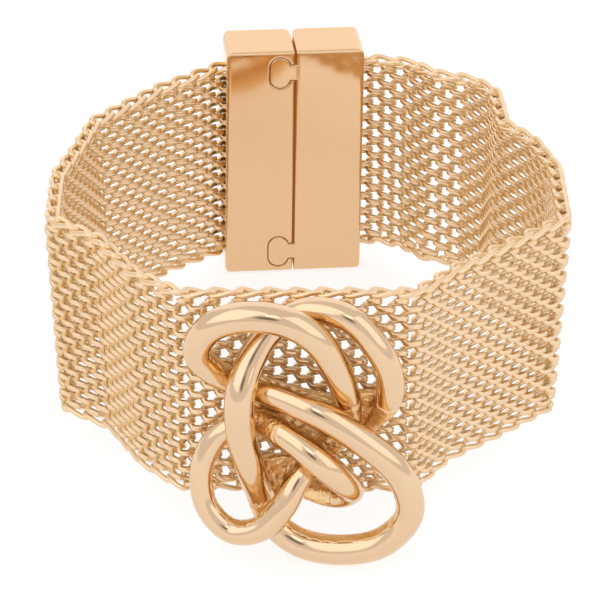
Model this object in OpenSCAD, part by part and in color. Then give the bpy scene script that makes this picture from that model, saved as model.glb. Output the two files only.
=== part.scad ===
// Magnetic bracelet: a wide woven metal band, folded into flats round the wrist, with a two-part
// box clasp at the back and a cast knot of round rod on the front.
// Millimetres, +Z up. The bracelet stands on its edge, as it rests on a table: on the feet of the
// clasp at the back (+Y) and on the lowest loop of the knot at the front (-Y).
// The origin is the middle of the footprint, at table height.

/* [Band] */
// Width of the woven band, from its lower edge to its upper edge
band_width = 24.4; // [22:0.2:26]
// Thickness of the weave
band_thick = 1.5; // [1.2:0.1:1.6]
// Round taken off each long edge of the band
band_edge = 0.4; // [0.2:0.05:0.5]
// How far the knot lifts the front of the band, in degrees
front_rise = 4.5; // [3:0.1:6]
// How far the band leans sideways on its feet, in degrees
side_rise = 1.2; // [0:0.1:2]
// Height of the middle of the band above the table
band_mid_height = 17.56; // [17.56:0.01:18.5]

/* [Clasp] */
// Width of the closed clasp, both halves together
clasp_width = 16.7; // [15.5:0.1:18]
// Depth of the clasp, from the wrist side to the outside
clasp_depth = 7.0; // [6.3:0.1:7.5]
// Height of the clasp
clasp_height = 29.9; // [29:0.1:32]
// Turn of the clasp in plan, in degrees
clasp_turn = 6; // [4:0.5:8]
// How far the top of the clasp leans outwards, in degrees
clasp_lean = 3.8; // [0:0.1:4.5]
// Gap between the two halves
seam_gap = 0.2; // [0.1:0.02:0.3]
// Round on the upright edges of the outside
clasp_round = 1.3; // [0.6:0.1:1.5]
// Round on the outer edges of the seam, which makes a notch
clasp_notch = 1.6; // [0.8:0.1:1.8]
// Round on the four corners, seen from the wrist
clasp_corner = 0.9; // [0.4:0.1:1.2]
// Round on the other edges
clasp_soft = 0.45; // [0.3:0.05:0.7]
// Round on the edges of the seam, on the wrist side
seam_soft = 0.3; // [0.1:0.05:0.4]
// Half width of the head of a locking tab
tab_head_radius = 1.2; // [1:0.05:1.5]
// Height of the head of a locking tab
tab_head_height = 3.9; // [3.4:0.1:4.6]
// Height of the neck of a locking tab
tab_neck_height = 1.9; // [1.4:0.1:2.2]
// How far a tab reaches in from the wrist side
tab_depth = 2.4; // [1.5:0.1:3]
// Distance of each tab's middle from the end of the clasp
tab_inset = 2.8; // [2.6:0.1:4]
// Distance of each tab head's middle from the seam
tab_reach = 1.75; // [1.6:0.05:2]

/* [Knot] */
// Thickness of the knot's rod, as a share of the thickness in the table
rod_share = 1; // [0.9:0.01:1]
// Sides of the rod
rod_sides = 16; // [10:1:18]
// How far the cast webs between the rods stand out of the band's face
web_out = 1.7; // [1.2:0.1:2]
// Thickness of the pins that hold the knot
pin_d = 1.6; // [1.2:0.1:2]
// Thickness of the bar behind the band
bar_thick = 0.8; // [0.6:0.1:1.2]
// Height of the bar behind the band
bar_height = 2.6; // [2.2:0.1:4]

/* [Hidden] */
$fn = 48;

gold = [0.90, 0.70, 0.47];
pale_gold = [0.94, 0.76, 0.55];

// Where the band's own frame stands over the middle of the footprint
plan_shift = [-0.64, -6.77];
// Clearance between pieces that fit into each other
fit_gap = 0.15;
// Clearance between the band and the bar behind it, with room for the lean of the front flat
bar_gap = 0.5;
// Amount by which a cutter runs past the face it cuts
past = 0.5;
// Depth of the flat on the outer bottom edge of the clasp, on which it stands
foot_flat = 0.07;

// Plan of the band, from one clasp half round the wrist to the other, seen from above.
// One row for each fold: [across, deep, radius of the fold, how far the lower edge tucks in]
FOLDS = [
    [ -6.9,  37.6, 0.0, 0.5],
    [ -9.8,  37.2, 2.5, 0.5],
    [-16.8,  31.0, 2.5, 0.2],
    [-24.2,  21.8, 3.0, 0.8],
    [-25.7,  15.0, 3.0, 0.9],
    [-27.8,   7.5, 4.0, 1.0],
    [-27.8,  -3.6, 1.2, 1.2],
    [-22.4,  -8.4, 2.5, 1.5],
    [-18.3, -16.4, 2.0, 1.3],
    [-13.3, -21.2, 1.5, 0.7],
    [ 12.6, -21.2, 1.5, 0.4],
    [ 17.4, -15.2, 4.0, 1.3],
    [ 22.4, -10.5, 4.0, 1.2],
    [ 29.6,  -3.6, 1.2, 1.3],
    [ 29.3,   9.3, 1.8, 1.0],
    [ 27.2,  16.4, 2.5, 1.0],
    [ 23.9,  21.2, 1.2, 0.9],
    [ 23.3,  29.6, 2.0, 0.8],
    [ 20.8,  33.3, 1.5, 0.8],
    [ 16.4,  35.0, 1.5, 1.0],
    [ 13.2,  38.2, 1.5, 0.6],
    [  9.8,  39.2, 1.5, 0.1],
    [  5.1,  39.0, 0.0, 0.0]
];
// Steps round each fold, and the longest straight step
fold_steps = 4;
flat_step = 2.6;

// Path of the knot's one rod, seen from the front, from its end under the crossing rod.
// One row for each bend: [across, up from the band's middle, out from the band's face, radius]
KNOT = [
    [  7.9,  -2.9, 1.7, 0.80],
    [  9.7,   1.0, 2.6, 1.50],
    [  9.2,   5.9, 3.4, 1.50],
    [  5.9,  10.5, 3.0, 1.50],
    [  1.5,  11.4, 1.9, 1.50],
    [ -2.6,   9.5, 1.8, 1.50],
    [ -5.2,   6.3, 3.4, 1.60],
    [ -6.5,   2.6, 5.2, 1.65],
    [ -6.4,  -2.0, 5.2, 1.65],
    [ -5.6,  -6.4, 4.1, 1.65],
    [ -4.5, -10.9, 2.4, 1.55],
    [ -3.0, -15.2, 1.8, 1.55],
    [  0.0, -17.5, 2.4, 1.65],
    [  4.2, -17.9, 3.3, 1.70],
    [  8.7, -16.7, 4.0, 1.70],
    [ 11.7, -13.4, 4.5, 1.60],
    [ 11.9,  -9.9, 4.8, 1.60],
    [  9.9,  -5.9, 5.1, 1.65],
    [  5.9,  -2.2, 5.3, 1.60],
    [  1.6,   0.5, 4.8, 1.60],
    [ -2.4,   1.6, 3.2, 1.55],
    [ -6.3,   2.2, 1.8, 1.45],
    [ -9.4,   4.2, 2.4, 1.50],
    [-11.1,   7.2, 3.4, 1.55],
    [ -9.5,  10.7, 4.4, 1.65],
    [ -5.8,  12.3, 5.1, 1.70],
    [ -1.5,  11.8, 5.3, 1.70],
    [  2.0,   9.1, 4.9, 1.65],
    [  4.3,   4.2, 3.7, 1.60],
    [  5.3,  -0.8, 2.0, 1.45],
    [  4.6,  -3.9, 1.8, 1.40],
    [  2.0,  -6.2, 2.2, 1.40],
    [ -0.2,  -8.4, 4.2, 1.40],
    [ -1.8, -11.2, 5.1, 1.45],
    [ -4.5, -14.2, 5.0, 1.45],
    [ -7.8, -14.9, 4.0, 1.40],
    [-10.4, -12.0, 3.2, 1.30],
    [-10.7,  -7.6, 2.5, 1.30],
    [ -8.7,  -3.8, 1.9, 1.35],
    [ -4.9,  -2.3, 1.9, 1.40],
    [ -1.5,  -2.8, 4.3, 1.50],
    [  2.0,  -5.0, 5.9, 1.60],
    [  4.5,  -7.8, 5.2, 1.55],
    [  5.7, -10.2, 3.4, 1.40],
    [  4.0, -11.8, 1.8, 1.40],
    [  0.9, -11.0, 1.5, 1.30],
    [ -1.0,  -9.8, 1.6, 0.90]
];
// Rings of the rod for each row
rod_steps = 4;

// Cast webs that join the rods, low over the band: one row of corners [across, up] for each web
WEBS = [
    [
        [-5.6, 3.0], [-1.5, 1.9], [5.4, -0.6], [5.6, -3.4], [4.4, -5.6], [1.0, -5.2], [-1.0, -4.0],
        [-4.6, -4.6], [-5.8, -2.0]
    ],
    [[-4.6, -7.6], [-1.0, -6.9], [0.5, -8.0], [-1.5, -10.5], [-4.2, -13.6], [-5.4, -11.0]],
    [[4.5, 0.8], [8.8, 0.8], [9.3, -1.8], [7.6, -3.6], [5.2, -2.0]]
];
// Clearance between the webs and the band, and the round of the webs' corners
web_gap = 0.55;
web_round = 0.5;

// Outer face of the band's front flat, in the band's own frame
face_deep = FOLDS[10][1] - band_thick / 2;

// Places of the two pins, behind a crossing of the rod: [across, up, out of the pin's end]
PINS = [
    [-4.9, -2.3, 0.20],
    [ 4.6, -3.9, 0.25]
];

function unit(v) = v / norm(v);

// Points round one fold, on a curve that leaves both flats along their own direction
function fold(a, b, c) =
    let (
        flat_b = [b[0], b[1]],
        u = unit(flat_b - [a[0], a[1]]),
        v = unit([c[0], c[1]] - flat_b),
        reach = b[2] * tan(acos(u * v) / 2)
    )
    [for (k = [0 : fold_steps])
        let (
            s = k / fold_steps,
            p = (1 - s) * (1 - s) * (flat_b - reach * u) + 2 * s * (1 - s) * flat_b + s * s * (flat_b + reach * v)
        )
        [p[0], p[1], b[3]]];

// The whole plan before its long flats are divided: rows of [across, deep, tuck]
fold_points = [
    [FOLDS[0][0], FOLDS[0][1], FOLDS[0][3]],
    for (i = [1 : len(FOLDS) - 2]) each fold(FOLDS[i - 1], FOLDS[i], FOLDS[i + 1]),
    [FOLDS[len(FOLDS) - 1][0], FOLDS[len(FOLDS) - 1][1], FOLDS[len(FOLDS) - 1][3]]
];

// The plan with steps of even length along each flat
plan = [
    for (i = [0 : len(fold_points) - 2])
        let (
            a = fold_points[i],
            b = fold_points[i + 1],
            parts = max(1, ceil(norm([b[0] - a[0], b[1] - a[1]]) / flat_step))
        )
        for (k = [0 : parts - 1]) a + (b - a) * k / parts,
    fold_points[len(fold_points) - 1]
];

function clamp_index(i, list) = max(0, min(len(list) - 1, i));

// Direction across the wall at one point of the plan, towards the outside of the bracelet
function outward(i) =
    let (
        a = plan[clamp_index(i - 1, plan)],
        b = plan[clamp_index(i + 1, plan)],
        along = unit([b[0] - a[0], b[1] - a[1]])
    )
    [along[1], -along[0]];

// Half outline of the wall's section as [share of thickness, share of height], clockwise from outside
wall_section = let (t = band_thick / 2, w = band_width / 2, e = band_edge) [
    [t, -w + e], [t, w - e], [t - e, w], [-t + e, w], [-t, w - e], [-t, -w + e], [-t + e, -w], [t - e, -w]
];

// One ring of the wall: the section stood up on the plan, its lower part tucked inwards
function wall_ring(i) =
    let (p = plan[i], n = outward(i))
    [for (q = wall_section)
        let (out = q[0] - p[2] * (0.5 - q[1] / band_width))
        [p[0] + n[0] * out, p[1] + n[1] * out, q[1]]];

// Rows of four-cornered faces between rings of n points, with a flat end at each end
function skin(rings, n) = concat(
    [[for (k = [0 : n - 1]) k]],
    [for (i = [0 : rings - 2], k = [0 : n - 1])
        [i * n + k, (i + 1) * n + k, (i + 1) * n + (k + 1) % n, i * n + (k + 1) % n]],
    [[for (k = [n - 1 : -1 : 0]) (rings - 1) * n + k]]
);

// Catmull-Rom curve through four rows at share s between the middle two
function smooth(p0, p1, p2, p3, s) =
    0.5 * (2 * p1 + (p2 - p0) * s + (2 * p0 - 5 * p1 + 4 * p2 - p3) * s * s
        + (3 * p1 - p0 - 3 * p2 + p3) * s * s * s);

function knot_row(i) =
    i < 0 ? 2 * KNOT[0] - KNOT[1] :
    i >= len(KNOT) ? 2 * KNOT[len(KNOT) - 1] - KNOT[len(KNOT) - 2] :
    KNOT[i];

rod_rows = [
    for (i = [0 : len(KNOT) - 2], k = [0 : rod_steps - 1])
        smooth(knot_row(i - 1), knot_row(i), knot_row(i + 1), knot_row(i + 2), k / rod_steps),
    KNOT[len(KNOT) - 1]
];

// The rod's centre line in the band's frame
rod_line = [for (r = rod_rows) [r[0], face_deep - r[2], r[1]]];

function along_rod(i) =
    unit(rod_line[clamp_index(i + 1, rod_line)] - rod_line[clamp_index(i - 1, rod_line)]);

// A side direction carried along the rod without twisting
rod_sideways = [
    for (i = 0, s = unit(cross(along_rod(0), [0, 1, 0])); i < len(rod_line);
         i = i + 1, s = unit(s - (s * along_rod(i)) * along_rod(i)))
        s
];

function rod_ring(i) =
    let (t = along_rod(i), s = rod_sideways[i], u = cross(t, s), r = rod_rows[i][3] * rod_share)
    [for (k = [0 : rod_sides - 1])
        let (a = 360 * k / rod_sides)
        rod_line[i] + r * (cos(a) * s + sin(a) * u)];

// Corner points of a rectangle whose corners are rounded, one radius for each corner
function rounded(low, high, radii) =
    let (
        corners = [low, [high[0], low[1]], high, [low[0], high[1]]],
        inwards = [[1, 1], [-1, 1], [-1, -1], [1, -1]],
        steps = 5
    )
    [for (c = [0 : 3], k = [0 : steps])
        let (r = radii[c], a = 180 + 90 * c + 90 * k / steps)
        corners[c] + [inwards[c][0] * r, inwards[c][1] * r] + r * [cos(a), sin(a)]];

// The band's own frame: its middle height, raised at the front and leaning to one side
module in_band_frame() {
    translate([plan_shift[0], plan_shift[1], band_mid_height])
        rotate([-front_rise, -side_rise, 0])
            children();
}

// The clasp's own frame: the middle of its foot, with the wrist side at -Y
module in_clasp_frame() {
    foot_lift = (clasp_depth / 2 - clasp_soft) * sin(clasp_lean) - foot_flat;
    translate([plan_shift[0] - 0.9, plan_shift[1] + 37.2, foot_lift])
        rotate([-clasp_lean, 0, clasp_turn])
            children();
}

// One half of the clasp as a softened block, between two distances across
module clasp_block(x_low, x_high, round_low, round_high, soft_low, soft_high, corner_low, corner_high) {
    half_depth = clasp_depth / 2;
    intersection() {
        linear_extrude(height = clasp_height)
            polygon(rounded([x_low, -half_depth], [x_high, half_depth],
                [soft_low, soft_high, round_high, round_low]));
        translate([0, half_depth, 0])
            rotate([90, 0, 0])
                linear_extrude(height = clasp_depth)
                    polygon(rounded([x_low, 0], [x_high, clasp_height],
                        [corner_low, corner_high, corner_high, corner_low]));
        rotate([90, 0, 90])
            translate([0, 0, x_low])
                linear_extrude(height = x_high - x_low)
                    polygon(rounded([-half_depth, 0], [half_depth, clasp_height],
                        [clasp_soft, clasp_soft, clasp_soft, clasp_soft]));
    }
}

// All that the flat of the foot takes off the clasp
module below_table() {
    translate([-clasp_width, 0, -1])
        cube([2 * clasp_width, 60, 1]);
}

// The two locking tabs, or with a gap the room that they need
module tabs(gap) {
    head_r = tab_head_radius + gap;
    rise = tab_head_height / 2 - tab_head_radius;
    front = -clasp_depth / 2;
    head_x = -seam_gap / 2 - tab_reach;
    for (z = [tab_inset, clasp_height - tab_inset]) {
        translate([head_x, front + tab_depth + gap, z])
            rotate([90, 0, 0])
                union() {
                    for (side = [-1, 1])
                        translate([0, side * rise, 0])
                            cylinder(r = head_r, h = tab_depth + (gap > 0 ? gap + past : 0));
                    translate([-head_r, -rise, 0])
                        cube([2 * head_r, 2 * rise, tab_depth + (gap > 0 ? gap + past : 0)]);
                    translate([0, -tab_neck_height / 2 - gap, 0])
                        cube([-head_x + seam_gap, tab_neck_height + 2 * gap, tab_depth + (gap > 0 ? gap + past : 0)]);
                }
    }
}

// Room for one end of the band in the side of a clasp half
module band_slot(i, far) {
    a = FOLDS[far];
    b = FOLDS[i];
    tuck = b[3];
    turn = atan2(b[1] - a[1], b[0] - a[0]);
    inwards = i == 0 ? -1 : 1;
    slot_run = 5;
    translate([b[0], b[1], 0])
        rotate([0, 0, turn])
            translate([0, inwards * tuck / 2, 0])
                rotate([inwards * atan(tuck / band_width), 0, 0])
                    translate([-slot_run, -band_thick / 2 - fit_gap, -band_width / 2 - fit_gap])
                        cube([slot_run + fit_gap, band_thick + 2 * fit_gap, band_width + 2 * fit_gap]);
}

module mesh_band() {
    color(gold)
        in_band_frame()
            difference() {
                polyhedron(
                    points = [for (i = [0 : len(plan) - 1]) each wall_ring(i)],
                    faces = skin(len(plan), len(wall_section)),
                    convexity = 10
                );
                for (p = PINS)
                    translate([p[0], face_deep - past, p[1]])
                        rotate([-90, 0, 0])
                            cylinder(d = pin_d + 2 * fit_gap, h = band_thick + 2 * past + 1);
            }
}

module clasp_socket_half() {
    color(pale_gold)
        difference() {
            in_clasp_frame()
                difference() {
                    clasp_block(-clasp_width / 2, -seam_gap / 2, clasp_round, clasp_notch,
                        clasp_soft, seam_soft, clasp_corner, seam_soft);
                    tabs(fit_gap);
                }
            in_band_frame()
                band_slot(0, 1);
            below_table();
        }
}

module clasp_tab_half() {
    color(pale_gold)
        difference() {
            in_clasp_frame()
                union() {
                    clasp_block(seam_gap / 2, clasp_width / 2, clasp_notch, clasp_round,
                        seam_soft, clasp_soft, seam_soft, clasp_corner);
                    tabs(0);
                }
            in_band_frame()
                band_slot(len(FOLDS) - 1, len(FOLDS) - 2);
            below_table();
        }
}

// A flat web between rods, with rounded corners, clear of the band
module web(corners) {
    translate([0, face_deep - web_gap, 0])
        rotate([90, 0, 0])
            linear_extrude(height = web_out - web_gap)
                offset(r = web_round, $fn = 24)
                    offset(delta = -web_round)
                        polygon(corners);
}

module knot() {
    color(pale_gold)
        in_band_frame()
            union() {
                polyhedron(
                    points = [for (i = [0 : len(rod_line) - 1]) each rod_ring(i)],
                    faces = skin(len(rod_line), rod_sides),
                    convexity = 10
                );
                for (corners = WEBS) web(corners);
            }
}

// A plain bar inside the band, from the one pin to the other, with the two pins that carry the knot
module knot_post() {
    bar_deep = face_deep + band_thick + bar_gap;
    reach = [PINS[1][0] - PINS[0][0], PINS[1][1] - PINS[0][1]];
    color(gold)
        in_band_frame()
            union() {
                translate([PINS[0][0], bar_deep, PINS[0][1]])
                    rotate([0, -atan2(reach[1], reach[0]), 0])
                        translate([0, 0, -bar_height / 2])
                            cube([norm(reach), bar_thick, bar_height]);
                for (p = PINS) {
                    translate([p[0], face_deep - p[2], p[1]])
                        rotate([-90, 0, 0])
                            cylinder(d = pin_d, h = bar_deep - face_deep + p[2] + bar_thick);
                    translate([p[0], bar_deep, p[1]])
                        rotate([-90, 0, 0])
                            cylinder(d = bar_height, h = bar_thick);
                }
            }
}

mesh_band();
clasp_socket_half();
clasp_tab_half();
knot();
knot_post();
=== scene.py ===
"""Looks of a woven bracelet with a knot of cast rod on the front and a magnetic clasp at the back.

The band is woven here from its real wires: flattened spirals side by side, each hooked through
the next, with a chain of twisted links along both edges. Every shape is worked out as whole
arrays from the band's plan and the knot's path, in metres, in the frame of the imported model.
"""

import math

import bpy
import numpy as np
from mathutils import Matrix, Vector


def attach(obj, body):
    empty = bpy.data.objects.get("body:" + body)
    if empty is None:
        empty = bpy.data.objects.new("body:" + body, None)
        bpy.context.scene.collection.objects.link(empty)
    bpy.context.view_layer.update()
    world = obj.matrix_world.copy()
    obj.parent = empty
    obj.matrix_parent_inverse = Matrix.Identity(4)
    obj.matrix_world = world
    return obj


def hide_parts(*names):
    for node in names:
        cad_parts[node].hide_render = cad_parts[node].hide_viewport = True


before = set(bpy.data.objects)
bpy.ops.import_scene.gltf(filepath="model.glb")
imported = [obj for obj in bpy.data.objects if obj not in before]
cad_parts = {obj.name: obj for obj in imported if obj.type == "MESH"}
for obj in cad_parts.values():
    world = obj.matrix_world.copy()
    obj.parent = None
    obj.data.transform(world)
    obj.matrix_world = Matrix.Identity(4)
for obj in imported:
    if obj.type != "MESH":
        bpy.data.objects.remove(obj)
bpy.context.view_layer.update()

MM = 0.001

# Stance of the band: its own frame stands at its middle height, raised at the front by the knot
BAND_PLACE = np.array([-0.64, -6.77, 17.56]) * MM
FRONT_RISE = math.radians(4.5)
SIDE_RISE = math.radians(1.2)
TILT = Matrix.Rotation(-SIDE_RISE, 3, "Y") @ Matrix.Rotation(-FRONT_RISE, 3, "X")

# View, given in the band's own frame; its width is the one at the band's middle
VIEW_RISE = math.radians(28)
VIEW_DISTANCE = 450 * MM
VIEW_PIXELS = 600
PIXELS_PER_MM = 8.75
VIEW_WIDTH = VIEW_PIXELS / PIXELS_PER_MM * MM
VIEW_START = 10 * MM
VIEW_END = 10
FILM_WIDTH = 36                 # in millimetres, as the lens is

# Band
BAND_WIDTH = 24.4 * MM
BAND_THICK = 1.5 * MM

# Plan of the band seen from above, one row for each fold, in millimetres:
# [across, deep, radius of the fold, how far the lower edge tucks in]
FOLDS = np.array([
    [-6.9, 37.6, 0.0, 0.5],
    [-9.8, 37.2, 2.5, 0.5],
    [-16.8, 31.0, 2.5, 0.2],
    [-24.2, 21.8, 3.0, 0.8],
    [-25.7, 15.0, 3.0, 0.9],
    [-27.8, 7.5, 4.0, 1.0],
    [-27.8, -3.6, 1.2, 1.2],
    [-22.4, -8.4, 2.5, 1.5],
    [-18.3, -16.4, 2.0, 1.3],
    [-13.3, -21.2, 1.5, 0.7],
    [12.6, -21.2, 1.5, 0.4],
    [17.4, -15.2, 4.0, 1.3],
    [22.4, -10.5, 4.0, 1.2],
    [29.6, -3.6, 1.2, 1.3],
    [29.3, 9.3, 1.8, 1.0],
    [27.2, 16.4, 2.5, 1.0],
    [23.9, 21.2, 1.2, 0.9],
    [23.3, 29.6, 2.0, 0.8],
    [20.8, 33.3, 1.5, 0.8],
    [16.4, 35.0, 1.5, 1.0],
    [13.2, 38.2, 1.5, 0.6],
    [9.8, 39.2, 1.5, 0.1],
    [5.1, 39.0, 0.0, 0.0],
]) * MM
FOLD_STEPS = 12

# The row where the front flat ends, and how deep the outer face of that flat stands
FRONT_ROW = 10
FRONT_FACE = FOLDS[FRONT_ROW, 1] - BAND_THICK / 2
FORWARDS = np.array([0.0, -1.0, 0.0])

# Weave
COLUMN_PITCH = 1.456 * MM
TURN_PITCH = 2.15 * MM
WIRE_RADIUS = 0.355 * MM
WEAVE_TOP = BAND_WIDTH / 2 - 0.6 * MM
TURN_STEPS = 2

# Share of the radius that is left where a wire or the rod closes
TIP = 1e-3

# Share of the wire's radius on each side of its section: four lobes with a groove between them
LOBES = np.tile([0.70, 1.0, 1.0], 4)
WIRE_SIDES = len(LOBES)

# One turn of a flattened spiral, from the start of its outer stroke, in millimetres:
# [across from the spiral's middle, out from the band's mid surface, up]
TURN = np.array([
    [-0.60, 0.60, 0.00],
    [-0.01, 0.72, -0.03],
    [0.60, 0.63, -0.11],
    [0.88, 0.16, -0.41],
    [0.74, -0.52, -0.93],
    [0.05, -0.72, -1.08],
    [-0.68, -0.62, -1.24],
    [-1.02, -0.05, -1.60],
]) * MM

# Chain of twisted links along each edge of the band
LINK_PITCH = 2 * COLUMN_PITCH
LINK_HALF_LENGTH = 1.76 * MM
LINK_HALF_WIDTH = 0.60 * MM
LINK_FULLNESS = 0.45
LINK_TWIST = 0.27 * MM
LINK_RADIUS = 0.31 * MM
LINK_HEIGHT = BAND_WIDTH / 2 - 0.06 * MM
LINK_ROLL = math.radians(-12)
LINK_SEGMENTS = 28
LINK_SIDES = 8

# Path of the knot's one rod, seen from the front, one row for each bend, in millimetres:
# [across, up from the band's middle, out from the band's face, radius]
KNOT = np.array([
    [7.9, -2.9, 1.7, 0.80],
    [9.7, 1.0, 2.6, 1.50],
    [9.2, 5.9, 3.4, 1.50],
    [5.9, 10.5, 3.0, 1.50],
    [1.5, 11.4, 1.9, 1.50],
    [-2.6, 9.5, 1.8, 1.50],
    [-5.2, 6.3, 3.4, 1.60],
    [-6.5, 2.6, 5.2, 1.65],
    [-6.4, -2.0, 5.2, 1.65],
    [-5.6, -6.4, 4.1, 1.65],
    [-4.5, -10.9, 2.4, 1.55],
    [-3.0, -15.2, 1.8, 1.55],
    [0.0, -17.5, 2.4, 1.65],
    [4.2, -17.9, 3.3, 1.70],
    [8.7, -16.7, 4.0, 1.70],
    [11.7, -13.4, 4.5, 1.60],
    [11.9, -9.9, 4.8, 1.60],
    [9.9, -5.9, 5.1, 1.65],
    [5.9, -2.2, 5.3, 1.60],
    [1.6, 0.5, 4.8, 1.60],
    [-2.4, 1.6, 3.2, 1.55],
    [-6.3, 2.2, 1.8, 1.45],
    [-9.4, 4.2, 2.4, 1.50],
    [-11.1, 7.2, 3.4, 1.55],
    [-9.5, 10.7, 4.4, 1.65],
    [-5.8, 12.3, 5.1, 1.70],
    [-1.5, 11.8, 5.3, 1.70],
    [2.0, 9.1, 4.9, 1.65],
    [4.3, 4.2, 3.7, 1.60],
    [5.3, -0.8, 2.0, 1.45],
    [4.6, -3.9, 1.8, 1.40],
    [2.0, -6.2, 2.2, 1.40],
    [-0.2, -8.4, 4.2, 1.40],
    [-1.8, -11.2, 5.1, 1.45],
    [-4.5, -14.2, 5.0, 1.45],
    [-7.8, -14.9, 4.0, 1.40],
    [-10.4, -12.0, 3.2, 1.30],
    [-10.7, -7.6, 2.5, 1.30],
    [-8.7, -3.8, 1.9, 1.35],
    [-4.9, -2.3, 1.9, 1.40],
    [-1.5, -2.8, 4.3, 1.50],
    [2.0, -5.0, 5.9, 1.60],
    [4.5, -7.8, 5.2, 1.55],
    [5.7, -10.2, 3.4, 1.40],
    [4.0, -11.8, 1.8, 1.40],
    [0.9, -11.0, 1.5, 1.30],
    [-1.0, -9.8, 1.6, 0.90],
]) * MM
ROD_STEPS = 14
ROD_SIDES = 36
CAP_RINGS = 6

# Stretches of the rod that keep the raw skin of the casting all round, in rows of the table above:
# [first row, last row]
RAW_SPANS = np.array([
    [-1.0, 0.7],
    [10.3, 11.1],
    [28.8, 31.3],
    [38.7, 39.7],
    [44.3, 48.0],
])

# Polish of the rod, as smooth steps between two values: the inner side of a bend, how far from the
# front the wheel reaches there, the back of the rod, and the ends of a raw stretch in rows
INNER_STEP = (0.25, 0.6)
REACH_STEP = (0.3, 0.62)
BACK_STEP = (-0.75, -0.25)
RAW_STEP = (-0.3, 0.1)
TIGHT_BEND = 14 * MM            # a bend of this radius or less counts in full

# Cast webs that join the rods, one row of corners for each web, in millimetres:
# [across, up from the band's middle]
WEBS = (
    [[-5.6, 3.0], [-1.5, 1.9], [5.4, -0.6], [5.6, -3.4], [4.4, -5.6], [1.0, -5.2], [-1.0, -4.0],
     [-4.6, -4.6], [-5.8, -2.0]],
    [[-4.6, -7.6], [-1.0, -6.9], [0.5, -8.0], [-1.5, -10.5], [-4.2, -13.6], [-5.4, -11.0]],
    [[4.5, 0.8], [8.8, 0.8], [9.3, -1.8], [7.6, -3.6], [5.2, -2.0]],
)
WEB_BACK = 0.55 * MM
WEB_FRONT = 1.7 * MM
WEB_STEPS = 12
WEB_DISH = 0.30 * MM
WEB_UNEVEN = 0.14 * MM

# Shares of the way from a web's middle to its outline: a point, the flats and the round rim
WEB_POINT = 0.001
WEB_BACK_FLAT = 0.92
WEB_FRONT_FLAT = 0.93
WEB_RIM = 0.07
BACK_RINGS, RIM_RINGS, FRONT_RINGS = 8, 9, 30

# Sine waves of the webs' uneven front, in radians for each metre across and up. A slower wave
# sways the first one from side to side
WEB_WAVES = np.array([
    [2100, 0],
    [900, 2600],
    [4300, -3700],
])
SWAY_WAVE = 1500
SWAY_REACH = 1.3

# Clasp: the middle of its foot, its lean and turn, and the softness of its edges
CLASP_FOOT = np.array([-1.54, 30.43, 0.13]) * MM
CLASP_TURN = (math.radians(-3.8), 0, math.radians(6))
CLASP_EDGE = 0.32 * MM
EDGE_SAMPLES = 8

# Boxes that hold the walls inside the clasp, which get painted shade, in its own frame and in
# millimetres:
# (middle, reach to each side)
SEAM_ACROSS, SEAM_DEEP = (0, 0.12), (-0.6, 2.6)
SOCKET_ACROSS, SOCKET_DEEP = (-1.6, 1.75), (-2.0, 1.3)
WALLS_UP = (14.95, 14.5)


def to_ground(points):
    """Points of the band's own frame, turned by the tilt and moved to the band's place."""
    return points @ np.array(TILT).T + BAND_PLACE


def unit(vectors):
    """Vectors divided by their lengths."""
    return vectors / np.linalg.norm(vectors, axis=-1, keepdims=True)


# Camera

def make_camera():
    """A long lens at the photograph's angle, aimed at the middle of the band."""
    ahead = TILT @ Vector((0, math.cos(VIEW_RISE), -math.sin(VIEW_RISE)))
    up = TILT @ Vector((0, math.sin(VIEW_RISE), math.cos(VIEW_RISE)))
    right = ahead.cross(up)
    data = bpy.data.cameras.new("camera")
    data.sensor_width = FILM_WIDTH
    data.lens = FILM_WIDTH * VIEW_DISTANCE / VIEW_WIDTH
    data.clip_start = VIEW_START
    data.clip_end = VIEW_END
    camera = bpy.data.objects.new("camera", data)
    turn = Matrix((right, up, -ahead)).transposed().to_4x4()
    camera.matrix_world = Matrix.Translation(Vector(BAND_PLACE) - ahead * VIEW_DISTANCE) @ turn
    bpy.context.scene.collection.objects.link(camera)
    bpy.context.scene.camera = camera


make_camera()


# Shapes

def new_piece(name, points, faces):
    """A smooth-shaded mesh object at the origin, which rides the part's one body.

    Takes an array of points and an array of faces that all have the same number of corners.
    """
    mesh = bpy.data.meshes.new(name)
    corners = faces.shape[1]
    mesh.vertices.add(len(points))
    mesh.vertices.foreach_set("co", points.astype(np.float32).ravel())
    mesh.loops.add(faces.size)
    mesh.loops.foreach_set("vertex_index", faces.astype(np.int32).ravel())
    mesh.polygons.add(len(faces))
    mesh.polygons.foreach_set("loop_start", np.arange(0, faces.size, corners, dtype=np.int32))
    mesh.polygons.foreach_set("use_smooth", np.ones(len(faces), dtype=bool))
    mesh.update(calc_edges=True)
    mesh.validate()
    piece = bpy.data.objects.new(name, mesh)
    bpy.context.scene.collection.objects.link(piece)
    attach(piece, "root")
    return piece


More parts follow.
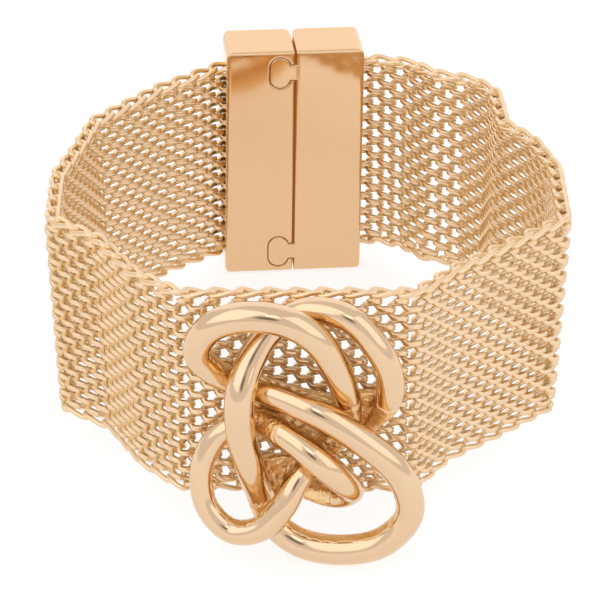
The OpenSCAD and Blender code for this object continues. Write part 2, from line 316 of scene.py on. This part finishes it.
def band_plan():
    """The band's mid line: straight flats joined by folds, each fold a quadratic curve.

    Returns these arrays: the distance along the line and the place of each of its points, the
    distance of the middle of each step, the heading of each step, and the tuck at each point.
    """
    before, here, after = FOLDS[:-2], FOLDS[1:-1], FOLDS[2:]
    come = unit(here[:, :2] - before[:, :2])
    leave = unit(after[:, :2] - here[:, :2])
    turn = np.arccos(np.clip((come * leave).sum(1), -1, 1))
    reach = (here[:, 2] * np.tan(turn / 2))[:, None, None]
    s = np.linspace(0, 1, FOLD_STEPS)[None, :, None]
    corner = here[:, None, :2]
    arcs = (
        (1 - s) ** 2 * (corner - reach * come[:, None])
        + 2 * s * (1 - s) * corner
        + s ** 2 * (corner + reach * leave[:, None])
    )
    tucks = np.repeat(here[:, 3], FOLD_STEPS)
    line = np.vstack([FOLDS[:1, :2], arcs.reshape(-1, 2), FOLDS[-1:, :2]])
    tuck = np.concatenate([FOLDS[:1, 3], tucks, FOLDS[-1:, 3]])
    stride = np.diff(line, axis=0)
    along = np.concatenate([[0], np.cumsum(np.linalg.norm(stride, axis=1))])
    heading = np.unwrap(np.arctan2(stride[:, 1], stride[:, 0]))
    middle = (along[1:] + along[:-1]) / 2
    return along, line, middle, heading, tuck


PLAN_ALONG, PLAN_LINE, PLAN_MIDDLE, PLAN_HEADING, PLAN_TUCK = band_plan()
BAND_LENGTH = PLAN_ALONG[-1]


def on_band(s, out, up):
    """A place given by distance along the band, distance out of its mid surface and height.

    The lower the place, the more the wall's tuck moves it inwards.
    """
    x = np.interp(s, PLAN_ALONG, PLAN_LINE[:, 0])
    y = np.interp(s, PLAN_ALONG, PLAN_LINE[:, 1])
    heading = np.interp(s, PLAN_MIDDLE, PLAN_HEADING)
    shift = out - np.interp(s, PLAN_ALONG, PLAN_TUCK) * (0.5 - up / BAND_WIDTH)
    place = np.broadcast_arrays(x + shift * np.sin(heading), y - shift * np.cos(heading), up)
    return to_ground(np.stack(place, -1))


def tube_faces(curves, rings, sides, closed):
    """Four-cornered faces between neighbouring rings of each tube, as one array."""
    spans = rings if closed else rings - 1
    c, r, k = np.meshgrid(np.arange(curves), np.arange(spans), np.arange(sides), indexing="ij")
    base = c * rings * sides
    near, far = base + r * sides, base + (r + 1) % rings * sides
    turn = (k + 1) % sides
    return np.stack([near + k, near + turn, far + turn, far + k], -1).reshape(-1, 4)


def tubes(paths, hint, radius, sides, closed=False, share=1.0):
    """Tubes along paths: each ring stands square to its path, turned so that its first point lies
    towards the hint direction. The share of the radius can differ from side to side."""
    if closed:
        ahead = unit(np.roll(paths, -1, axis=1) - np.roll(paths, 1, axis=1))
    else:
        ahead = unit(np.gradient(paths, axis=1))
    first = unit(hint - (hint * ahead).sum(-1, keepdims=True) * ahead)
    second = np.cross(ahead, first)
    angle = np.arange(sides) / sides * 2 * np.pi
    ring = (
        first[..., None, :] * np.cos(angle)[:, None]
        + second[..., None, :] * np.sin(angle)[:, None]
    )
    ring *= np.broadcast_to(share, sides)[:, None]
    points = paths[..., None, :] + ring * np.asarray(radius)[..., None, None]
    return points.reshape(-1, 3), tube_faces(*paths.shape[:2], sides, closed)


def smooth_rows(rows, steps):
    """Catmull-Rom curve through a table's rows, with the same number of steps for each row."""
    ends = np.vstack([2 * rows[0] - rows[1], rows, 2 * rows[-1] - rows[-2]])
    p0, p1, p2, p3 = (ends[i:len(ends) - 3 + i, None] for i in range(4))
    t = (np.arange(steps) / steps)[None, :, None]
    curve = 0.5 * (
        2 * p1 + (p2 - p0) * t + (2 * p0 - 5 * p1 + 4 * p2 - p3) * t ** 2
        + (3 * p1 - p0 - 3 * p2 + p3) * t ** 3
    )
    return np.vstack([curve.reshape(-1, rows.shape[1]), rows[-1:]])


def woven_columns(first, last):
    """Flattened spirals side by side, each hooked through the next, half a turn above or below.

    A spiral is a smooth curve through the points of one turn, repeated a turn pitch lower each
    time: a nearly level outer stroke, a bend inwards, an inner stroke back, and a bend outwards.
    Every other spiral starts half a turn earlier, so all of them reach the same height. The
    section has lobes, as of thin wires laid together, and is drawn to a point at both ends.
    """
    turns = int(2 * WEAVE_TOP / TURN_PITCH) + 1
    drop = np.arange(-1, turns)[:, None, None] * np.array([0, 0, TURN_PITCH])
    curve = smooth_rows((TURN - drop).reshape(-1, 3), TURN_STEPS)
    column = np.arange(first, last)[:, None]
    lowered = column % 2
    whole = len(TURN) * TURN_STEPS
    rings = turns * whole - 1
    sample = whole - lowered * (whole // 2) + np.arange(rings)
    middle = (column + 0.5) * COLUMN_PITCH
    up = WEAVE_TOP + curve[sample, 2] - lowered * TURN_PITCH / 2
    paths = on_band(middle + curve[sample, 0], curve[sample, 1], up)
    outwards = unit(paths - on_band(middle, 0, up))
    radius = np.full(rings, WIRE_RADIUS)
    radius[[0, -1]] *= TIP
    return tubes(paths, outwards, radius, WIRE_SIDES, share=LOBES)


def edge_chain(side):
    """Twisted oval links along one edge, each passing through the next.

    The line of a link is along = A cos f and out = B sin f * (1 + D cos f cos f), which gives it
    full round ends. It is raised by C sin 2f, so that its two ends twist opposite ways, and the
    whole link is rolled a little.
    """
    count = int(BAND_LENGTH / LINK_PITCH)
    start = (BAND_LENGTH - (count - 1) * LINK_PITCH) / 2
    centre = (start + np.arange(count) * LINK_PITCH)[:, None]
    angle = np.arange(LINK_SEGMENTS) / LINK_SEGMENTS * 2 * np.pi
    wide = LINK_HALF_WIDTH * np.sin(angle) * (1 + LINK_FULLNESS * np.cos(angle) ** 2)
    twist = LINK_TWIST * np.sin(2 * angle)
    out = wide * math.cos(LINK_ROLL) + twist * math.sin(LINK_ROLL)
    up = side * (LINK_HEIGHT + twist * math.cos(LINK_ROLL) - wide * math.sin(LINK_ROLL))
    paths = on_band(centre + LINK_HALF_LENGTH * np.cos(angle), out, up)
    middle = paths.mean(axis=1, keepdims=True)
    return tubes(paths, unit(paths - middle), LINK_RADIUS, LINK_SIDES, closed=True)


def smooth_step(ends, values):
    """Smooth step from 0 at the first of two end values to 1 at the second."""
    low, high = ends
    share = np.clip((values - low) / (high - low), 0, 1)
    return share * share * (3 - 2 * share)


def facing_out(points, faces):
    """The faces, turned over if the volume that they close comes out negative."""
    a, b, c, d = (points[faces[:, k]] for k in range(4))
    volume = (np.cross(b - a, c - a) * a).sum() + (np.cross(c - a, d - a) * a).sum()
    return faces if volume > 0 else faces[:, ::-1]


def knot_rod():
    """The knot's rod: round rings along its path, closed by a round cap at each end.

    Returns points, faces and the polish of each point: 1 on all that a wheel can reach, falling
    to 0 at the back of the rod, on the inner side of each bend and along the raw stretches.
    """
    rows = smooth_rows(KNOT, ROD_STEPS)
    path = np.stack([rows[:, 0], FRONT_FACE - rows[:, 2], rows[:, 1]], -1)
    radius = rows[:, 3]
    cap = np.linspace(0, np.pi / 2, CAP_RINGS + 1)[1:]
    start, end = unit(path[0] - path[1]), unit(path[-1] - path[-2])
    head = path[0] + radius[0] * np.sin(cap)[::-1, None] * start
    tail = path[-1] + radius[-1] * np.sin(cap)[:, None] * end
    small = np.cos(cap) + TIP
    path = np.vstack([head, path, tail])
    radius = np.concatenate([radius[0] * small[::-1], radius, radius[-1] * small])
    points, faces = tubes(path[None], FORWARDS, radius[None], ROD_SIDES)
    stride = np.gradient(path, axis=0)
    length = np.linalg.norm(stride, axis=1, keepdims=True)
    bend = np.gradient(unit(stride), axis=0) / length * TIGHT_BEND
    bend /= np.maximum(1, np.linalg.norm(bend, axis=1, keepdims=True))
    side = unit(points.reshape(len(path), ROD_SIDES, 3) - path[:, None])
    front = (side * FORWARDS).sum(-1)
    inner = smooth_step(INNER_STEP, (side * bend[:, None]).sum(-1))
    polish = (1 - inner * (1 - smooth_step(REACH_STEP, front))) * smooth_step(BACK_STEP, front)
    row = (np.arange(len(path)) - CAP_RINGS)[:, None] / ROD_STEPS
    first, last = RAW_SPANS.T
    raw = smooth_step(RAW_STEP, row - first) * smooth_step(RAW_STEP, last - row)
    polish *= 1 - raw.max(axis=1, keepdims=True)
    return to_ground(points), faces, polish.ravel()


def knot_webs():
    """The cast webs: each a flat pad with a round rim, its front dished and a little uneven.

    Rings of a smooth outline shrink towards its middle: over the back, round the rim and over
    the front, where out = rim height - dish * (1 - share * share) + the mean of three sine waves,
    which die out towards the rim.
    """
    half, middle = (WEB_FRONT - WEB_BACK) / 2, (WEB_FRONT + WEB_BACK) / 2
    back = np.linspace(WEB_POINT, WEB_BACK_FLAT, BACK_RINGS)
    rim = np.linspace(-np.pi / 2, np.pi / 2, RIM_RINGS)
    front = np.linspace(WEB_FRONT_FLAT, WEB_POINT, FRONT_RINGS)
    share = np.concatenate([back, WEB_FRONT_FLAT + WEB_RIM * np.cos(rim), front])[:, None]
    height = np.concatenate([-np.ones(BACK_RINGS), np.sin(rim), np.ones(FRONT_RINGS)])[:, None]
    all_points, all_faces, count = [], [], 0
    for corners in WEBS:
        corners = np.array(corners) * MM
        ring = np.vstack([corners[-2:], corners, corners[:3]])
        outline = smooth_rows(ring, WEB_STEPS)[2 * WEB_STEPS:(len(corners) + 2) * WEB_STEPS]
        centre = outline.mean(axis=0)
        place = centre + (outline - centre) * share[..., None]
        x, up = place[..., 0], place[..., 1]
        phase = place @ WEB_WAVES.T
        phase[..., 0] += SWAY_REACH * np.sin(up * SWAY_WAVE)
        waves = np.sin(phase).mean(-1)
        dish = WEB_DISH * (1 - share ** 2) - WEB_UNEVEN * waves * (1 - share ** 6)
        out = middle + half * height - dish * np.isclose(height, 1)
        points = np.stack([x, FRONT_FACE - out, up], -1).reshape(-1, 3)
        faces = facing_out(points, tube_faces(1, len(share), len(outline), False))
        all_points.append(points)
        all_faces.append(faces + count)
        count += len(points)
    return to_ground(np.vstack(all_points)), np.vstack(all_faces)


# Materials

# Painted reflection tones: metal seen in other metal takes one of these in place of its own
# colour, one for the far side of the bracelet and one for metal within the mirror's reach. They
# set how deep the shade between bends comes out, and the lighter one for the wires lifts the shade
# between them
FAR_REFLECTION_TINT = (0.84, 0.55, 0.21)
NEAR_REFLECTION_TINT = (0.84, 0.56, 0.24)
NEAR_WIRE_REFLECTION_TINT = (1.0, 0.855, 0.60)
MIRROR_REACH = 5 * MM
GRAIN_STRENGTH = 0.3

# Painted shade on the walls inside the clasp: a dull brown tone, lifted by a faint painted glow
SEAM_SHADE_TONE = (0.62, 0.36, 0.14, 1)
SEAM_ROUGHNESS = 0.5
SEAM_PAINTED_GLOW = (0.10, 0.045, 0.014, 1)
NO_GLOW = (0, 0, 0, 1)

# Raw skin of the casting. It sets in while the noise of its grains, less the polish, passes from
# the first value to the second
SKIN_START = (-0.25, 0.1)
SKIN_TONE = (0.88, 0.60, 0.31, 1)
SKIN_ROUGHNESS = 0.32
SKIN_SCALE = 1100
SKIN_DETAIL = 3
SKIN_DEPTH = 0.32 * MM


def fresh_material(name):
    """A new material with a Principled shader on its output; returns the material and shader."""
    material = bpy.data.materials.new(name)
    material.use_nodes = True
    nodes = material.node_tree.nodes
    nodes.clear()
    shader = nodes.new("ShaderNodeBsdfPrincipled")
    output = nodes.new("ShaderNodeOutputMaterial")
    material.node_tree.links.new(shader.outputs["BSDF"], output.inputs["Surface"])
    return material, shader


def feed(tree, socket, value):
    """Gives a socket its value: a link from another node's output, or a constant."""
    if isinstance(value, bpy.types.NodeSocket):
        tree.links.new(value, socket)
    else:
        socket.default_value = value


def calculation(tree, operation, *values):
    """A math node on outputs or constants; returns its output."""
    node = tree.nodes.new("ShaderNodeMath")
    node.operation = operation
    for socket, value in zip(node.inputs, values):
        feed(tree, socket, value)
    return node.outputs["Value"]


def mixture(tree, kind, factor, a, b):
    """A mix of two colours, of kind RGBA, or two numbers, of kind FLOAT; returns its output."""
    node = tree.nodes.new("ShaderNodeMix")
    node.data_type = kind
    for name, value in (("Factor", factor), ("A", a), ("B", b)):
        feed(tree, node.inputs[name], value)
    return node.outputs["Result"]


def carried_over(tree, value, start=(0, 1), end=(0, 1), kind="LINEAR"):
    """A value carried over from a start range to an end range; returns its output."""
    node = tree.nodes.new("ShaderNodeMapRange")
    node.interpolation_type = kind
    feed(tree, node.inputs["Value"], value)
    for name, limit in zip(("From Min", "From Max", "To Min", "To Max"), (*start, *end)):
        feed(tree, node.inputs[name], limit)
    return node.outputs["Result"]


def cloudiness(tree, scale, detail):
    """Noise that stays in place on the piece; returns its output."""
    place = tree.nodes.new("ShaderNodeTexCoord")
    node = tree.nodes.new("ShaderNodeTexNoise")
    feed(tree, node.inputs["Vector"], place.outputs["Object"])
    feed(tree, node.inputs["Scale"], scale)
    feed(tree, node.inputs["Detail"], detail)
    return node.outputs["Fac"]


def relief(tree, height, strength, distance):
    """A bump node over a height; returns the node."""
    node = tree.nodes.new("ShaderNodeBump")
    for name, value in (("Height", height), ("Strength", strength), ("Distance", distance)):
        feed(tree, node.inputs[name], value)
    return node


def plating_group():
    """Soft variation of a plated surface: two tones mixed by large clouds, with fine grain."""
    group = bpy.data.node_groups.new("plating tone", "ShaderNodeTree")
    for name, kind, value in (
        ("Tone", "NodeSocketColor", (0.85, 0.6, 0.35, 1)),
        ("Deep Tone", "NodeSocketColor", (0.75, 0.45, 0.2, 1)),
        ("Cloud Scale", "NodeSocketFloat", 300.0),
        ("Grain Scale", "NodeSocketFloat", 3000.0),
        ("Smoothest", "NodeSocketFloat", 0.15),
        ("Roughest", "NodeSocketFloat", 0.3),
    ):
        socket = group.interface.new_socket(name, in_out="INPUT", socket_type=kind)
        socket.default_value = value
    for name, kind in (
        ("Color", "NodeSocketColor"),
        ("Roughness", "NodeSocketFloat"),
        ("Grain", "NodeSocketFloat"),
    ):
        group.interface.new_socket(name, in_out="OUTPUT", socket_type=kind)
    given, result = group.nodes.new("NodeGroupInput"), group.nodes.new("NodeGroupOutput")
    clouds = cloudiness(group, given.outputs["Cloud Scale"], detail=2)
    grain = cloudiness(group, given.outputs["Grain Scale"], detail=1)
    tone = mixture(group, "RGBA", clouds, given.outputs["Tone"], given.outputs["Deep Tone"])
    ends = given.outputs["Smoothest"], given.outputs["Roughest"]
    roughness = carried_over(group, grain, end=ends)
    for name, value in (("Color", tone), ("Roughness", roughness), ("Grain", grain)):
        feed(group, result.inputs[name], value)
    return group


PLATING = plating_group()


def plated_metal(
    name, tone, deep_tone, near_reflection_tint, cloud_scale, grain_scale, roughness, grain_depth,
):
    """Plated metal: the plating group gives tone and roughness, and its grain feeds a bump.

    Metal that is seen in other metal takes a painted reflection tone in place of its own, which
    deepens
    or lifts the shade between the bends: one tone for metal close by, such as the next wire, and
    one for the far side of the bracelet.
    """
    material, shader = fresh_material(name)
    tree = material.node_tree
    plating = tree.nodes.new("ShaderNodeGroup")
    plating.node_tree = PLATING
    smoothest, roughest = roughness
    for socket, value in (
        ("Tone", (*tone, 1)), ("Deep Tone", (*deep_tone, 1)),
        ("Cloud Scale", cloud_scale), ("Grain Scale", grain_scale),
        ("Smoothest", smoothest), ("Roughest", roughest),
    ):
        feed(tree, plating.inputs[socket], value)
    ray = tree.nodes.new("ShaderNodeLightPath")
    close = calculation(tree, "LESS_THAN", ray.outputs["Ray Length"], MIRROR_REACH)
    painted_reflection = mixture(tree, "RGBA", close, (*FAR_REFLECTION_TINT, 1), (*near_reflection_tint, 1))
    direct = plating.outputs["Color"]
    # Painted reflection: rays that do not come from the camera see the reflection tone, not the
    # plating's colour
    color = mixture(tree, "RGBA", ray.outputs["Is Camera Ray"], painted_reflection, direct)
    grain = relief(tree, plating.outputs["Grain"], GRAIN_STRENGTH, grain_depth)
    feed(tree, shader.inputs["Base Color"], color)
    feed(tree, shader.inputs["Roughness"], plating.outputs["Roughness"])
    feed(tree, shader.inputs["Normal"], grain.outputs["Normal"])
    feed(tree, shader.inputs["Metallic"], 1)
    return material


def seam_group():
    """Mask of the walls inside the clasp, where the painted shade goes: the seam's walls, and
    those of the tabs' sockets.

    Both are boxes in the clasp's own turned frame, set a little in from its outer faces.
    """
    group = bpy.data.node_groups.new("seam walls", "ShaderNodeTree")
    for name, side, kind in (
        ("Foot", "INPUT", "NodeSocketVector"),
        ("Turn", "INPUT", "NodeSocketVector"),
        ("Mask", "OUTPUT", "NodeSocketFloat"),
    ):
        group.interface.new_socket(name, in_out=side, socket_type=kind)
    nodes, links = group.nodes, group.links
    given, result = nodes.new("NodeGroupInput"), nodes.new("NodeGroupOutput")
    place = nodes.new("ShaderNodeTexCoord")
    shift = nodes.new("ShaderNodeVectorMath")
    shift.operation = "SUBTRACT"
    links.new(place.outputs["Object"], shift.inputs[0])
    links.new(given.outputs["Foot"], shift.inputs[1])
    turn = nodes.new("ShaderNodeVectorRotate")
    turn.rotation_type = "EULER_XYZ"
    turn.invert = True
    links.new(shift.outputs["Vector"], turn.inputs["Vector"])
    links.new(given.outputs["Turn"], turn.inputs["Rotation"])
    parts = nodes.new("ShaderNodeSeparateXYZ")
    links.new(turn.outputs["Vector"], parts.inputs["Vector"])

    def within(axis, span):
        middle, reach = span
        return calculation(group, "COMPARE", parts.outputs[axis], middle * MM, reach * MM)

    def both(a, b):
        return calculation(group, "MULTIPLY", a, b)

    seam = both(within("X", SEAM_ACROSS), within("Y", SEAM_DEEP))
    sockets = both(within("X", SOCKET_ACROSS), within("Y", SOCKET_DEEP))
    walls = both(calculation(group, "MAXIMUM", seam, sockets), within("Z", WALLS_UP))
    links.new(walls, result.inputs["Mask"])
    return group


def shader_of(material):
    """The Principled shader of a material."""
    return next(node for node in material.node_tree.nodes if node.type == "BSDF_PRINCIPLED")


def overlay(material, mask, tone, roughness):
    """Mixes a constant tone and roughness over the shader's own, as far as the mask goes."""
    tree, shader = material.node_tree, shader_of(material)
    for name, kind, value in (("Base Color", "RGBA", tone), ("Roughness", "FLOAT", roughness)):
        socket = shader.inputs[name]
        own = socket.links[0].from_socket
        feed(tree, socket, mixture(tree, kind, mask, own, value))


def soften_block_and_shade_seam(material):
    """Rounded light on the block's edges; inside the seam and sockets a painted shade, a dull
    brown rougher tone, with a faint painted glow that stands in for the little light a narrow gap
    keeps."""
    tree, shader = material.node_tree, shader_of(material)
    edge = tree.nodes.new("ShaderNodeBevel")
    edge.samples = EDGE_SAMPLES
    edge.inputs["Radius"].default_value = CLASP_EDGE
    grain = shader.inputs["Normal"].links[0].from_node
    feed(tree, grain.inputs["Normal"], edge.outputs["Normal"])
    walls = tree.nodes.new("ShaderNodeGroup")
    walls.node_tree = seam_group()
    walls.inputs["Foot"].default_value = CLASP_FOOT
    walls.inputs["Turn"].default_value = CLASP_TURN
    mask = walls.outputs["Mask"]
    # Painted shade: a dull brown tone over the walls, and a faint painted glow that keeps them
    # from going black
    overlay(material, mask, SEAM_SHADE_TONE, SEAM_ROUGHNESS)
    glow = mixture(tree, "RGBA", mask, NO_GLOW, SEAM_PAINTED_GLOW)
    feed(tree, shader.inputs["Emission Color"], glow)
    feed(tree, shader.inputs["Emission Strength"], 1)


def roughen_cast(material):
    """Where the polish attribute falls to 0, the rod keeps the casting's dull, grainy skin."""
    tree, shader = material.node_tree, shader_of(material)
    polish = tree.nodes.new("ShaderNodeAttribute")
    polish.attribute_name = "polish"
    grains = cloudiness(tree, SKIN_SCALE, SKIN_DETAIL)
    ragged = calculation(tree, "SUBTRACT", grains, polish.outputs["Fac"])
    raw = carried_over(tree, ragged, start=SKIN_START, kind="SMOOTHSTEP")
    overlay(material, raw, SKIN_TONE, SKIN_ROUGHNESS)
    skin = relief(tree, calculation(tree, "MULTIPLY", grains, raw), 1, SKIN_DEPTH)
    feed(tree, skin.inputs["Normal"], shader.inputs["Normal"].links[0].from_socket)
    feed(tree, shader.inputs["Normal"], skin.outputs["Normal"])


WIRE_METAL = plated_metal(
    "woven wire", (0.87, 0.645, 0.425), (0.83, 0.595, 0.38), NEAR_WIRE_REFLECTION_TINT,
    cloud_scale=250, grain_scale=4000, roughness=(0.26, 0.36), grain_depth=0.004 * MM)
ROD_METAL = plated_metal(
    "cast rod", (0.78, 0.56, 0.37), (0.75, 0.52, 0.33), NEAR_REFLECTION_TINT,
    cloud_scale=180, grain_scale=2500, roughness=(0.09, 0.14), grain_depth=0.001 * MM)
BLOCK_METAL = plated_metal(
    "polished block", (0.79, 0.525, 0.308), (0.77, 0.495, 0.278), NEAR_REFLECTION_TINT,
    cloud_scale=60, grain_scale=3000, roughness=(0.05, 0.08), grain_depth=0.0005 * MM)
POST_METAL = plated_metal(
    "hidden post", (0.72, 0.48, 0.27), (0.66, 0.42, 0.22), NEAR_REFLECTION_TINT,
    cloud_scale=200, grain_scale=2500, roughness=(0.3, 0.4), grain_depth=0.01 * MM)
roughen_cast(ROD_METAL)
soften_block_and_shade_seam(BLOCK_METAL)


# Pieces of the bracelet

def weave_band():
    """The band's columns in four pieces, and the chain along each edge."""
    names = ("weave_back_left", "weave_front_left", "weave_front_right", "weave_back_right")
    columns = int(BAND_LENGTH / COLUMN_PITCH)
    cuts = np.linspace(0, columns, len(names) + 1).astype(int)
    for name, first, last in zip(names, cuts, cuts[1:]):
        yield new_piece(name, *woven_columns(first, last))
    for name, side in (("edge_chain_upper", 1), ("edge_chain_lower", -1)):
        yield new_piece(name, *edge_chain(side))


def knot_pieces():
    """The knot's rod, which carries its polish as an attribute, and the webs between its bends."""
    points, faces, polish = knot_rod()
    rod = new_piece("knot_rod", points, faces)
    rod.data.attributes.new("polish", "FLOAT", "POINT").data.foreach_set("value", polish)
    yield rod
    yield new_piece("knot_webs", *knot_webs())


def finish_piece(piece, material, node):
    """Gives a new piece its material, and hides the node of the model that it stands for."""
    piece.data.materials.append(material)
    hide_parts(node)


for woven in weave_band():
    finish_piece(woven, WIRE_METAL, "mesh_band")

for cast in knot_pieces():
    finish_piece(cast, ROD_METAL, "knot")

for node, metal in (
    ("clasp_socket_half", BLOCK_METAL), ("clasp_tab_half", BLOCK_METAL), ("knot_post", POST_METAL),
):
    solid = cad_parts[node]
    solid.data.materials.clear()
    solid.data.materials.append(metal)


# Stage and light

FLOOR_REACH = 4.0
FLOOR_TONE = (0.3, 0.3, 0.3, 1)
FLOOR_ROUGHNESS = 0.9
FLOOR_GLOW = 0.76
WHITE = (1, 1, 1, 1)

# Strength of the sky and of its dim patch, and the patch's outer and inner edge as cosines
SKY_LIGHT, PATCH_LIGHT = 0.88, 0.25
PATCH_EDGES = (math.cos(math.radians(13)), math.cos(math.radians(7)))

# Soft lights, in metres and watts: name, place, size and power. All face one point
LIGHTS = (
    ("key", (-0.35, -0.3, 0.5), 0.7, 0.95),
    ("fill", (0.45, -0.25, 0.35), 0.5, 0.42),
    ("back", (0.0, 0.6, 0.35), 0.9, 0.85),
    ("top", (0.08, -0.45, 0.5), 0.16, 0.09),
)
LIGHT_AIM = Vector((0, 0, 0.015))


def make_stage():
    """A pale floor under the bracelet, which glows a little."""
    corners = np.array([[-1, -1, 0], [1, -1, 0], [1, 1, 0], [-1, 1, 0]]) * FLOOR_REACH
    mesh = bpy.data.meshes.new("floor")
    mesh.from_pydata(corners.tolist(), [], [(0, 1, 2, 3)])
    floor = bpy.data.objects.new("floor", mesh)
    bpy.context.scene.collection.objects.link(floor)
    material, shader = fresh_material("pale floor")
    for name, value in (
        ("Base Color", FLOOR_TONE), ("Roughness", FLOOR_ROUGHNESS),
        ("Emission Color", WHITE), ("Emission Strength", FLOOR_GLOW),
    ):
        shader.inputs[name].default_value = value
    mesh.materials.append(material)


def make_sky():
    """An even pale sky with a dim round patch low at the front.

    The patch fades with the cosine of the angle between a direction and the patch's middle.
    """
    world = bpy.data.worlds.new("pale sky")
    bpy.context.scene.world = world
    world.use_nodes = True
    tree = world.node_tree
    sky = tree.nodes["Background"]
    sky.inputs["Color"].default_value = WHITE
    place = tree.nodes.new("ShaderNodeTexCoord")
    near = tree.nodes.new("ShaderNodeVectorMath")
    near.operation = "DOT_PRODUCT"
    near.inputs[1].default_value = (0, -math.cos(VIEW_RISE), math.sin(VIEW_RISE))
    feed(tree, near.inputs[0], place.outputs["Generated"])
    strength = carried_over(
        tree, near.outputs["Value"], PATCH_EDGES, (SKY_LIGHT, PATCH_LIGHT), "SMOOTHSTEP")
    feed(tree, sky.inputs["Strength"], strength)


def area_light(name, place, size, power):
    """A square soft light at a place, facing the lights' common point."""
    data = bpy.data.lights.new(name, "AREA")
    data.size = size
    data.energy = power
    lamp = bpy.data.objects.new(name, data)
    lamp.location = place
    lamp.rotation_euler = (LIGHT_AIM - Vector(place)).to_track_quat("-Z", "Y").to_euler()
    bpy.context.scene.collection.objects.link(lamp)


make_stage()
make_sky()
for light in LIGHTS:
    area_light(*light)
bpy.context.scene.view_settings.view_transform = "Standard"
